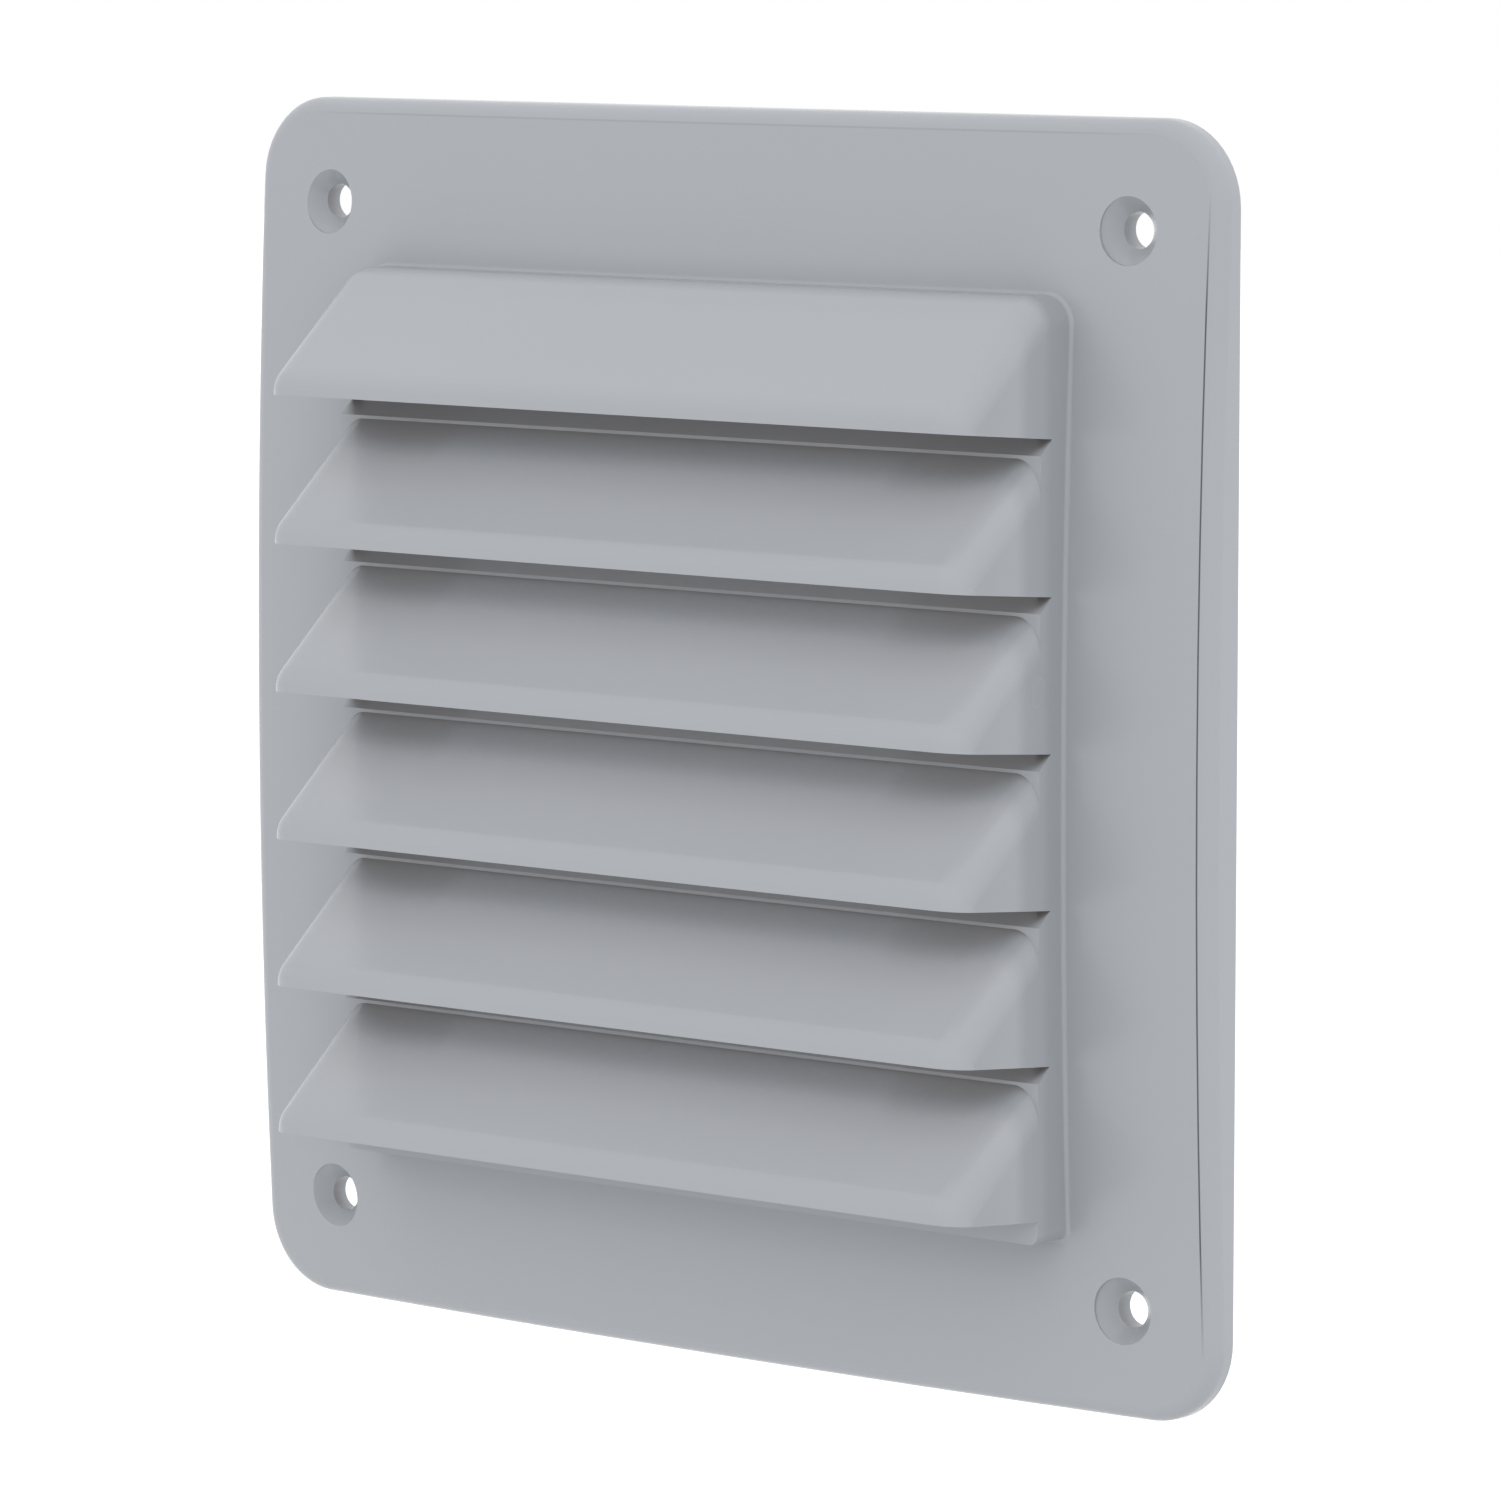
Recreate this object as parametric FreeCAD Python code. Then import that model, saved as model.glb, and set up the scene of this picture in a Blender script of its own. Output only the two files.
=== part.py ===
import FreeCAD, Part
import math
import os
from FreeCAD import Vector

os.makedirs("parts", exist_ok=True)

# Frame: X to the right seen from the front, Y into the wall, Z up.
# The origin is the centre of the back plane, which lies on the wall.

# Face plate
plate_width = 150.0
plate_height = 150.0
plate_corner_radius = 10.0
plate_edge_radius = 1.9
wall = 2.0
crown_centre_depth = 7.5
crown_rise = 2.4

# Screw holes with a countersink, set off from the sides of the pad
screw_to_pad = 7.6
screw_hole_diameter = 4.3
countersink_diameter = 8.0
countersink_angle = 90.0
countersink_rim_depth = 0.15
boss_wall = 2.9

# Raised pad that carries the louvres
pad_size = 109.3
pad_front_depth = 10.35
pad_bottom_corner_radius = 1.3
pad_foot_radius = 0.5

# Hooded louvres
louvre_count = 6
louvre_depth = 25.0
louvre_land = 0.4
last_lip_rise = 3.96
lip_face_height = 2.07
slot_gap = 2.4
hood_rounding = 3.6
side_draft = 2.4
shut_off_angle = 4.7

# Derived sizes of the pad and its wall: the size of the pad holds halfway up its sides
half_pad = pad_size / 2.0
pad_foot_depth = crown_centre_depth - crown_rise * (pad_size / plate_width) ** 2
pad_size_depth = (pad_foot_depth + pad_front_depth) / 2.0
wall_back_depth = pad_front_depth - wall
inner_rounding = hood_rounding - wall

# The screw holes stand in the border round the pad
screw_spacing = pad_size + 2.0 * screw_to_pad

# Derived sizes of one hood: the underside falls from the lip back to the pad
hood_reach = louvre_depth - pad_front_depth
shut_off_rise = math.tan(math.radians(shut_off_angle))
draft_rate = math.tan(math.radians(side_draft))
hood_drop = hood_reach * shut_off_rise

# The hoods share the height of the pad, with one slot gap between neighbours
louvre_field = pad_size - louvre_land - last_lip_rise
louvre_pitch = (louvre_field + slot_gap + hood_drop) / louvre_count
hood_rise = louvre_pitch - slot_gap - hood_drop
slope_rise = (hood_rise - lip_face_height) / hood_reach
louvre_slope = math.atan(slope_rise)
first_lip_height = half_pad - louvre_land - hood_rise

# Length by which a cutting shape runs past the faces it opens
overrun = 1.0


def rounded_outline(width, height, top_radius, bottom_radius, y):
    # Closed outline in a plane parallel to the wall, with its own radii above and below.
    w = width / 2.0
    h = height / 2.0
    corners = (
        (w, h, top_radius, 0.0),
        (-w, h, top_radius, 90.0),
        (-w, -h, bottom_radius, 180.0),
        (w, -h, bottom_radius, 270.0),
    )
    arcs = []
    for x, z, r, start in corners:
        cx = x - math.copysign(r, x)
        cz = z - math.copysign(r, z)
        points = []
        for turn in (0.0, 45.0, 90.0):
            a = math.radians(start + turn)
            points.append(Vector(cx + r * math.cos(a), y, cz + r * math.sin(a)))
        arcs.append(points)
    edges = []
    for i in range(4):
        edges.append(Part.Arc(*arcs[i]).toShape())
        edges.append(Part.makeLine(arcs[i][2], arcs[(i + 1) % 4][0]))
    return Part.Wire(edges)


def rounded_block(width, height, top_radius, bottom_radius, y_back, y_front):
    outline = rounded_outline(width, height, top_radius, bottom_radius, y_back)
    return Part.Face(outline).extrude(Vector(0.0, y_front - y_back, 0.0))


def edges_where(shape, test):
    return [e for e in shape.Edges if test(e)]


def crown_depth(x, z):
    half = plate_width / 2.0
    return crown_centre_depth - crown_rise * (x * x + z * z) / (half * half)


def crown_body(inset):
    # Thick slab whose front is the domed face, moved back by the inset.
    reach = plate_width * 0.6
    half = plate_width / 2.0
    drop = crown_rise * reach * reach / (half * half)
    centre = crown_centre_depth - inset
    weight = (-drop, drop, -drop)
    dome = Part.BezierSurface()
    dome.increase(2, 2)
    for i in range(3):
        for j in range(3):
            depth = centre + weight[i] + weight[j]
            dome.setPole(i + 1, j + 1, Vector((i - 1) * reach, -depth, (j - 1) * reach))
    return dome.toShape().extrude(Vector(0.0, 30.0, 0.0))


def face_plate():
    # Square plate with a domed front, rounded corners and front edge, and screw holes.
    r = plate_corner_radius
    block = rounded_block(plate_width, plate_height, r, r, 0.0, -crown_centre_depth - overrun)
    plate = block.common(crown_body(0.0))
    rim = edges_where(plate, lambda e: e.BoundBox.YMax < -0.5)
    plate = plate.makeFillet(plate_edge_radius, rim)
    for x, z in screw_positions():
        plate = plate.cut(screw_hole(x, z))
    return plate


def screw_positions():
    s = screw_spacing / 2.0
    return [(-s, -s), (s, -s), (-s, s), (s, s)]


def boss(x, z):
    radius = countersink_diameter / 2.0 + boss_wall
    return Part.makeCylinder(radius, crown_centre_depth, Vector(x, 0.0, z), Vector(0, -1, 0))


def plate_hollow():
    # Space behind the skin of the plate, left solid around the screws.
    w = plate_width - 2.0 * wall
    h = plate_height - 2.0 * wall
    r = plate_corner_radius - wall
    hollow = rounded_block(w, h, r, r, overrun, -crown_centre_depth)
    hollow = hollow.common(crown_body(wall))
    for x, z in screw_positions():
        hollow = hollow.cut(boss(x, z))
    return hollow


def screw_hole(x, z):
    # Round hole and a cone that starts below a short upright rim in the domed face.
    depth = crown_depth(x, z)
    r = screw_hole_diameter / 2.0
    big = countersink_diameter / 2.0
    widening = math.tan(math.radians(countersink_angle / 2.0))
    cone_front = depth - countersink_rim_depth
    cone_back = cone_front - (big - r) / widening
    profile = (
        (0.0, -overrun),
        (r, -overrun),
        (r, cone_back),
        (big, cone_front),
        (big, depth + overrun),
        (0.0, depth + overrun),
    )
    corners = [Vector(x + reach, -level, z) for reach, level in profile]
    half_section = Part.Face(Part.makePolygon(corners + [corners[0]]))
    return half_section.revolve(Vector(x, 0.0, z), Vector(0.0, 1.0, 0.0), 360.0)


def pad_hollow():
    w = pad_size - 2.0 * wall
    r = inner_rounding
    return rounded_block(w, w, r, r, overrun, -wall_back_depth)


def is_foot_edge(edge):
    # Edges where the sides of the pad meet the domed face.
    box = edge.BoundBox
    reach = max(abs(box.XMin), abs(box.XMax), abs(box.ZMin), abs(box.ZMax))
    on_pad = half_pad - hood_rounding < reach < half_pad + 0.5
    return on_pad and box.YMin > -pad_front_depth + 0.5 and box.YMax < -overrun


def drafted_block(half_width, depth, z0, z1):
    # Block with side faces that close in towards the front and are at half_width at the depth.
    front = louvre_depth + overrun
    root = half_width + draft_rate * (depth + overrun)
    tip = half_width - draft_rate * (front - depth)
    points = [
        Vector(-root, overrun, z0),
        Vector(-tip, -front, z0),
        Vector(tip, -front, z0),
        Vector(root, overrun, z0),
    ]
    face = Part.Face(Part.makePolygon(points + [points[0]]))
    return face.extrude(Vector(0.0, 0.0, z1 - z0))


def profile_prism(points, half_width):
    # Side profile given as pairs of depth and height, drawn out along X.
    corners = [Vector(-half_width, -depth, z) for depth, z in points]
    face = Part.Face(Part.makePolygon(corners + [corners[0]]))
    return face.extrude(Vector(2.0 * half_width, 0.0, 0.0))


def round_front_edges(prism, front, lip_height, radius):
    # Rounds the sloping and upright side edges, the upper lip edge and the edges on top of the pad.
    def is_picked(edge):
        box = edge.BoundBox
        slanted = box.YLength > 5.0 and box.ZLength > 5.0
        in_front = box.YMax < -front + 0.01
        upright = in_front and box.XLength < 0.01
        upper = in_front and box.XLength > 10.0 and box.ZMin > lip_height + 0.5
        on_top = box.ZMin > half_pad - 0.01 and box.YMin < -overrun
        return slanted or upright or upper or on_top

    return prism.makeFillet(radius, edges_where(prism, is_picked))


def pad_body():
    # Pad with the first hood on it: one rounding runs up the slope and over the top of the pad.
    lip_height = first_lip_height
    slope_top = lip_height + hood_rise
    meeting_depth = pad_front_depth - louvre_land / slope_rise
    points = [
        (0.0, -half_pad),
        (0.0, half_pad),
        (meeting_depth, half_pad),
        (louvre_depth, slope_top - hood_reach * slope_rise),
        (louvre_depth, lip_height),
        (pad_front_depth, lip_height - hood_drop),
        (pad_front_depth, -half_pad),
    ]
    prism = profile_prism(points, half_pad + overrun)
    prism = prism.common(drafted_block(half_pad, pad_size_depth, -half_pad, half_pad))
    prism = round_front_edges(prism, louvre_depth, lip_height, hood_rounding)

    def is_lower_corner(edge):
        box = edge.BoundBox
        return box.ZMax < -half_pad + 0.01 and box.XLength < 5.0 and box.YLength > 5.0

    return prism.makeFillet(pad_bottom_corner_radius, edges_where(prism, is_lower_corner))


def hood_body(lip_height):
    # Solid hood: sloping face, short upright lip, underside on the shut off plane.
    top = lip_height + hood_rise
    points = [
        (pad_front_depth, top),
        (louvre_depth, top - hood_reach * slope_rise),
        (louvre_depth, lip_height),
        (pad_front_depth, lip_height - hood_drop),
    ]
    prism = profile_prism(points, half_pad + overrun)
    prism = prism.common(drafted_block(half_pad, pad_size_depth, -half_pad, half_pad))
    return round_front_edges(prism, louvre_depth, lip_height, hood_rounding)


def sill_height(lip_height):
    # Height at which the underside plane reaches the back of the pad wall.
    return lip_height - (louvre_depth - wall_back_depth) * shut_off_rise


def hood_hollow(lip_height):
    # Air space inside a hood, open below and to the back.
    front = louvre_depth - wall
    roof = lip_height + hood_rise - wall / math.cos(louvre_slope)
    below = lip_height - hood_drop
    points = [
        (wall_back_depth, roof + wall * slope_rise),
        (front, roof - (front - pad_front_depth) * slope_rise),
        (front, lip_height - wall * shut_off_rise - overrun),
        (pad_front_depth, below - overrun),
        (pad_front_depth, below),
        (wall_back_depth, sill_height(lip_height)),
    ]
    prism = profile_prism(points, half_pad + overrun)
    prism = prism.common(drafted_block(half_pad - wall, wall_back_depth, -half_pad, half_pad))
    return round_front_edges(prism, front, lip_height, inner_rounding)


def slot_notch(lip_height):
    # Sloping cut over the top of the next hood, through both side faces.
    next_top = lip_height + hood_rise - louvre_pitch + louvre_land
    front = pad_front_depth + overrun
    points = [
        (wall_back_depth, sill_height(lip_height)),
        (front, lip_height - (louvre_depth - front) * shut_off_rise),
        (front, next_top - overrun * slope_rise),
        (pad_front_depth, next_top),
    ]
    return profile_prism(points, half_pad + overrun)


def air_space(lips):
    space = pad_hollow()
    for lip in lips:
        space = space.fuse(hood_hollow(lip))
    return space


def build():
    lips = [first_lip_height - i * louvre_pitch for i in range(louvre_count)]
    body = face_plate().fuse(pad_body())
    body = body.makeFillet(pad_foot_radius, edges_where(body, is_foot_edge))
    for lip in lips[1:]:
        body = body.fuse(hood_body(lip))
    body = body.cut(plate_hollow())
    body = body.cut(air_space(lips))
    for lip in lips[:-1]:
        body = body.cut(slot_notch(lip))
    return body


root = build()
root.exportStep("parts/root.step")
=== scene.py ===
import math

import bpy
from mathutils import Matrix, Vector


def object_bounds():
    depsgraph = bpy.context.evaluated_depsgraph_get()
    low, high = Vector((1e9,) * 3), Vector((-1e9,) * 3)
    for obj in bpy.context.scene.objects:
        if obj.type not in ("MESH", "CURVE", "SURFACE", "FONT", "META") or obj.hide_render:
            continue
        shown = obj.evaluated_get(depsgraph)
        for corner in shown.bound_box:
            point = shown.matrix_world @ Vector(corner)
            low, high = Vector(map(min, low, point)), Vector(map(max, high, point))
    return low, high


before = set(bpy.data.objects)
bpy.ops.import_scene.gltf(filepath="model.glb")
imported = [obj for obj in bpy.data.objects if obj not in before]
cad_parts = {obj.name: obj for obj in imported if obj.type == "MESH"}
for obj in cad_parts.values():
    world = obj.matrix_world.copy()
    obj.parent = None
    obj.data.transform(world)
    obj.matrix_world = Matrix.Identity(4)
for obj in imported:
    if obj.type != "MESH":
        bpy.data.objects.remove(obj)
cad_low, cad_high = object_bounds()

# Lengths are in metres. Depth is measured forward from the wall.

# Moulded plastic: its colour, the mottling of that colour, and the gloss that goes with it
plate_color = (0.456, 0.480, 0.512)
plastic_specular = 0.5
plastic_ior = 1.46
mottle_scale = 28.0
mottle_detail = 3.0
mottle_tint = 0.015
mottle_range = (0.2, 0.8)
roughness_range = (0.20, 0.28)

# Fine moulded texture
grain_scale = 2600.0
grain_detail = 2.0
grain_strength = 0.12
grain_height = 0.0001

# Painted light and shade that go with how open the surface is, from 0 in a crevice to 1 in the open:
# painted shade deep under
#  the louvres, painted light on their half-open slopes, and painted shade on the plate round the foot of
#  the pad. They stand in for light and shade that the soft sky lacks.
openness_reach = 0.020
openness_samples = 24
# Painted shade in crevices: darker, greyer colour where openness is low
crevice_shade_color = (0.272, 0.264, 0.266)
crevice_shade_openness = (0.40, 0.53)
# Painted light: paler colour on the half-open slopes of the louvres
slope_light_color = (0.526, 0.541, 0.571)
slope_light_openness = (0.46, 0.54, 0.80, 0.97)
slope_light_depth = (0.0125, 0.0145)
# Painted shade: darker colour on the plate round the pad and under the last louvre
foot_shade_color = (0.416, 0.439, 0.469)
foot_shade_openness = (0.50, 0.60, 0.70, 0.94)
foot_shade_depth = (0.0085, 0.0098)

# Painted shade line where the domed face meets the rim: full up to the first half width, gone at the
# second
plate_half = cad_high[0]
shade_line_color = (0.10, 0.105, 0.115)
shade_line_from_edge = 0.0018
shade_line_half_width = (0.000077, 0.000143)
shade_line_end_fade = (0.054, 0.067)
shade_line_top_share = 0.16

# Soft studio light: the even sky, then lobes as bearing from the front, height and strength
sky_level = 0.80
sky_lobes = {
    "front": (16.0, 16.0, 0.59),
    "right": (118.0, 0.0, 0.50),
    "rear": (180.0, 30.0, 0.32),
}
lobe_narrowness = 4.0
white = (1.0, 1.0, 1.0, 1.0)

# Pale floor
floor_height = -0.30
floor_half_width = 6.0
floor_color = (0.7, 0.7, 0.7, 1.0)
floor_glow = 0.55

# Camera at the photo's angle: its place and its own three directions
camera_lens = 188.87
camera_sensor = 36.0
camera_clip = (0.01, 50.0)
camera_place = (0.607432, -0.714809, 0.103221)
camera_right = (0.76328, 0.64607, 0.0)
camera_up = (-0.071972, 0.085029, 0.993779)
camera_back = (0.642049, -0.758529, 0.111400)


def new_tree(owner):
    owner.use_nodes = True
    owner.node_tree.nodes.clear()
    return owner.node_tree


def node(tree, kind, **settings):
    made = tree.nodes.new(kind)
    for key, value in settings.items():
        setattr(made, key, value)
    return made


def math_node(tree, operation, first, second=None):
    # One step of arithmetic on sockets or plain numbers.
    made = node(tree, "ShaderNodeMath", operation=operation)
    for i, value in enumerate((first, second)):
        if value is None:
            continue
        if isinstance(value, float):
            made.inputs[i].default_value = value
        else:
            tree.links.new(value, made.inputs[i])
    return made.outputs[0]


def color_mix(tree, amount, low, high):
    # Colour that goes from low to high, each a plain colour or a socket.
    made = node(tree, "ShaderNodeMix", data_type="RGBA")
    tree.links.new(amount, made.inputs[0])
    for i, value in ((6, low), (7, high)):
        if isinstance(value, tuple):
            made.inputs[i].default_value = (*value, 1.0)
        else:
            tree.links.new(value, made.inputs[i])
    return made.outputs[2]


def ramp(tree, value, low, high, to_low=0.0, to_high=1.0):
    # Straight ramp of a value from low to high, held at its two ends.
    made = node(tree, "ShaderNodeMapRange", clamp=True)
    tree.links.new(value, made.inputs["Value"])
    made.inputs["From Min"].default_value = low
    made.inputs["From Max"].default_value = high
    made.inputs["To Min"].default_value = to_low
    made.inputs["To Max"].default_value = to_high
    return made.outputs["Result"]


def noise(tree, place, scale, detail):
    made = node(tree, "ShaderNodeTexNoise")
    made.inputs["Scale"].default_value = scale
    made.inputs["Detail"].default_value = detail
    tree.links.new(place, made.inputs["Vector"])
    return made.outputs["Fac"]


def shade_line(tree, out, along):
    # Painted shade line at the start of the rim on one side of the plate, which fades before the
    # corners.
    distance = math_node(tree, "ABSOLUTE", math_node(tree, "SUBTRACT", out, plate_half - shade_line_from_edge))
    line = ramp(tree, distance, *shade_line_half_width, 1.0, 0.0)
    ends = ramp(tree, math_node(tree, "ABSOLUTE", along), *shade_line_end_fade, 1.0, 0.0)
    return math_node(tree, "MULTIPLY", line, ends)


def rim_shade_line(tree, place):
    # Fine painted shade line where the domed face meets the rim: dark on the right side, faint on top.
    split = node(tree, "ShaderNodeSeparateXYZ")
    tree.links.new(place, split.inputs[0])
    side = shade_line(tree, split.outputs["X"], split.outputs["Z"])
    top = shade_line(tree, split.outputs["Z"], split.outputs["X"])
    return math_node(tree, "MAXIMUM", side, math_node(tree, "MULTIPLY", top, shade_line_top_share))


def between(tree, value, stops):
    # Rises from 0 to 1 over the first two stops and falls back to 0 over the last two.
    first, second, third, last = stops
    inner = ramp(tree, value, first, second)
    outer = ramp(tree, value, third, last, 1.0, 0.0)
    return math_node(tree, "MULTIPLY", inner, outer)


def depth_in_front(tree, place):
    # Distance forward from the wall.
    split = node(tree, "ShaderNodeSeparateXYZ")
    tree.links.new(place, split.inputs[0])
    return math_node(tree, "MULTIPLY", split.outputs["Y"], -1.0)


def slope_painted_light(tree, openness, place):
    # Mask of painted light: 1 on half-open parts of the louvres, also inside them, and 0 in crevices, in
    # the
    #  open and on the plate.
    front = ramp(tree, depth_in_front(tree, place), *slope_light_depth)
    return math_node(tree, "MULTIPLY", between(tree, openness, slope_light_openness), front)


def pad_foot_painted_shade(tree, openness, place):
    # Mask of painted shade: 1 on half-open parts of the plate, as close to the pad and under the last
    # louvre,
    #  and 0 in crevices, in the open and on the louvres.
    low = ramp(tree, depth_in_front(tree, place), *foot_shade_depth, 1.0, 0.0)
    return math_node(tree, "MULTIPLY", between(tree, openness, foot_shade_openness), low)


def surface_color(tree, place, mottle):
    # Plain mottled colour, then painted light and shade that follow openness, then the painted shade
    # line over all of them.
    darker = tuple(c * (1.0 - mottle_tint) for c in plate_color)
    lighter = tuple(c * (1.0 + mottle_tint) for c in plate_color)
    surface = color_mix(tree, mottle, darker, lighter)
    occlusion = node(tree, "ShaderNodeAmbientOcclusion", samples=openness_samples)
    occlusion.inputs["Distance"].default_value = openness_reach
    openness = occlusion.outputs["AO"]
    # Painted light on the half-open slopes of the louvres
    surface = color_mix(tree, slope_painted_light(tree, openness, place), surface, slope_light_color)
    # Painted shade on the plate round the foot of the pad
    surface = color_mix(tree, pad_foot_painted_shade(tree, openness, place), surface, foot_shade_color)
    # Painted shade in crevices
    surface = color_mix(tree, ramp(tree, openness, *crevice_shade_openness), crevice_shade_color, surface)
    # Painted shade line where the domed face meets the rim
    return color_mix(tree, rim_shade_line(tree, place), surface, shade_line_color)


def plastic():
    # Satin moulded plastic: fine texture, faint mottling and uneven gloss.
    material = bpy.data.materials.new("face_plastic")
    tree = new_tree(material)
    link = tree.links.new
    output = node(tree, "ShaderNodeOutputMaterial")
    shader = node(tree, "ShaderNodeBsdfPrincipled")
    link(shader.outputs["BSDF"], output.inputs["Surface"])
    shader.inputs["Specular IOR Level"].default_value = plastic_specular
    shader.inputs["IOR"].default_value = plastic_ior
    place = node(tree, "ShaderNodeTexCoord").outputs["Object"]

    mottle = noise(tree, place, mottle_scale, mottle_detail)
    link(surface_color(tree, place, mottle), shader.inputs["Base Color"])
    link(ramp(tree, mottle, *mottle_range, *roughness_range), shader.inputs["Roughness"])

    bump = node(tree, "ShaderNodeBump")
    bump.inputs["Strength"].default_value = grain_strength
    bump.inputs["Distance"].default_value = grain_height
    link(noise(tree, place, grain_scale, grain_detail), bump.inputs["Height"])
    link(bump.outputs["Normal"], shader.inputs["Normal"])
    return material


def dress():
    skin = plastic()
    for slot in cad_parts["root"].material_slots:
        slot.material = skin


def seen_directly(tree):
    # 1 for what the camera sees, also mirrored in gloss or through glass, and 0 for light.
    ray = node(tree, "ShaderNodeLightPath")
    either = math_node(tree, "MAXIMUM", ray.outputs["Is Camera Ray"], ray.outputs["Is Glossy Ray"])
    return math_node(tree, "MAXIMUM", either, ray.outputs["Is Transmission Ray"])


def floor():
    # Pale floor, seen white. The part hangs high above it, so its shadow is too faint to see.
    half = floor_half_width
    corners = [(-half, -half), (half, -half), (half, half), (-half, half)]
    mesh = bpy.data.meshes.new("floor")
    mesh.from_pydata([(x, y, floor_height) for x, y in corners], [], [(0, 1, 2, 3)])
    sheet = bpy.data.objects.new("floor", mesh)
    bpy.context.scene.collection.objects.link(sheet)
    material = bpy.data.materials.new("floor_paper")
    tree = new_tree(material)
    link = tree.links.new
    output = node(tree, "ShaderNodeOutputMaterial")
    paper = node(tree, "ShaderNodeBsdfDiffuse")
    paper.inputs["Color"].default_value = floor_color
    glow = node(tree, "ShaderNodeEmission")
    link(math_node(tree, "MULTIPLY", seen_directly(tree), floor_glow), glow.inputs["Strength"])
    both = node(tree, "ShaderNodeAddShader")
    link(paper.outputs[0], both.inputs[0])
    link(glow.outputs[0], both.inputs[1])
    link(both.outputs[0], output.inputs["Surface"])
    mesh.materials.append(material)


def lobe(tree, direction, bearing, rise, strength):
    # Soft patch of sky round one direction, which fades out to the sides.
    turn = math.radians(bearing)
    tilt = math.radians(rise)
    aim = (math.sin(turn) * math.cos(tilt), -math.cos(turn) * math.cos(tilt), math.sin(tilt))
    facing = node(tree, "ShaderNodeVectorMath", operation="DOT_PRODUCT")
    tree.links.new(direction, facing.inputs[0])
    facing.inputs[1].default_value = aim
    front = math_node(tree, "MAXIMUM", facing.outputs["Value"], 0.0)
    patch = math_node(tree, "POWER", front, lobe_narrowness)
    return math_node(tree, "MULTIPLY", patch, strength)


def sky(tree, direction):
    # Strength of the light from each direction: the even sky and all the lobes.
    level = sky_level
    for bearing, rise, strength in sky_lobes.values():
        level = math_node(tree, "ADD", lobe(tree, direction, bearing, rise, strength), level)
    return level


def studio():
    # Soft light for the object, and white where the camera, gloss and glass look past it.
    scene = bpy.context.scene
    world = bpy.data.worlds.new("studio")
    scene.world = world
    tree = new_tree(world)
    link = tree.links.new
    output = node(tree, "ShaderNodeOutputWorld")
    light = node(tree, "ShaderNodeBackground")
    light.inputs["Color"].default_value = white
    link(sky(tree, node(tree, "ShaderNodeTexCoord").outputs["Generated"]), light.inputs["Strength"])
    backdrop = node(tree, "ShaderNodeBackground")
    backdrop.inputs["Color"].default_value = white
    mix = node(tree, "ShaderNodeMixShader")
    link(seen_directly(tree), mix.inputs[0])
    link(light.outputs[0], mix.inputs[1])
    link(backdrop.outputs[0], mix.inputs[2])
    link(mix.outputs[0], output.inputs["Surface"])
    world.cycles.sampling_method = "NONE"
    scene.view_settings.view_transform = "Standard"


def camera():
    data = bpy.data.cameras.new("camera")
    data.sensor_width = camera_sensor
    data.lens = camera_lens
    data.clip_start, data.clip_end = camera_clip
    eye = bpy.data.objects.new("camera", data)
    turn = Matrix((camera_right, camera_up, camera_back)).transposed()
    eye.matrix_world = Matrix.Translation(camera_place) @ turn.to_4x4()
    bpy.context.scene.collection.objects.link(eye)
    bpy.context.scene.camera = eye


dress()
floor()
studio()
camera()
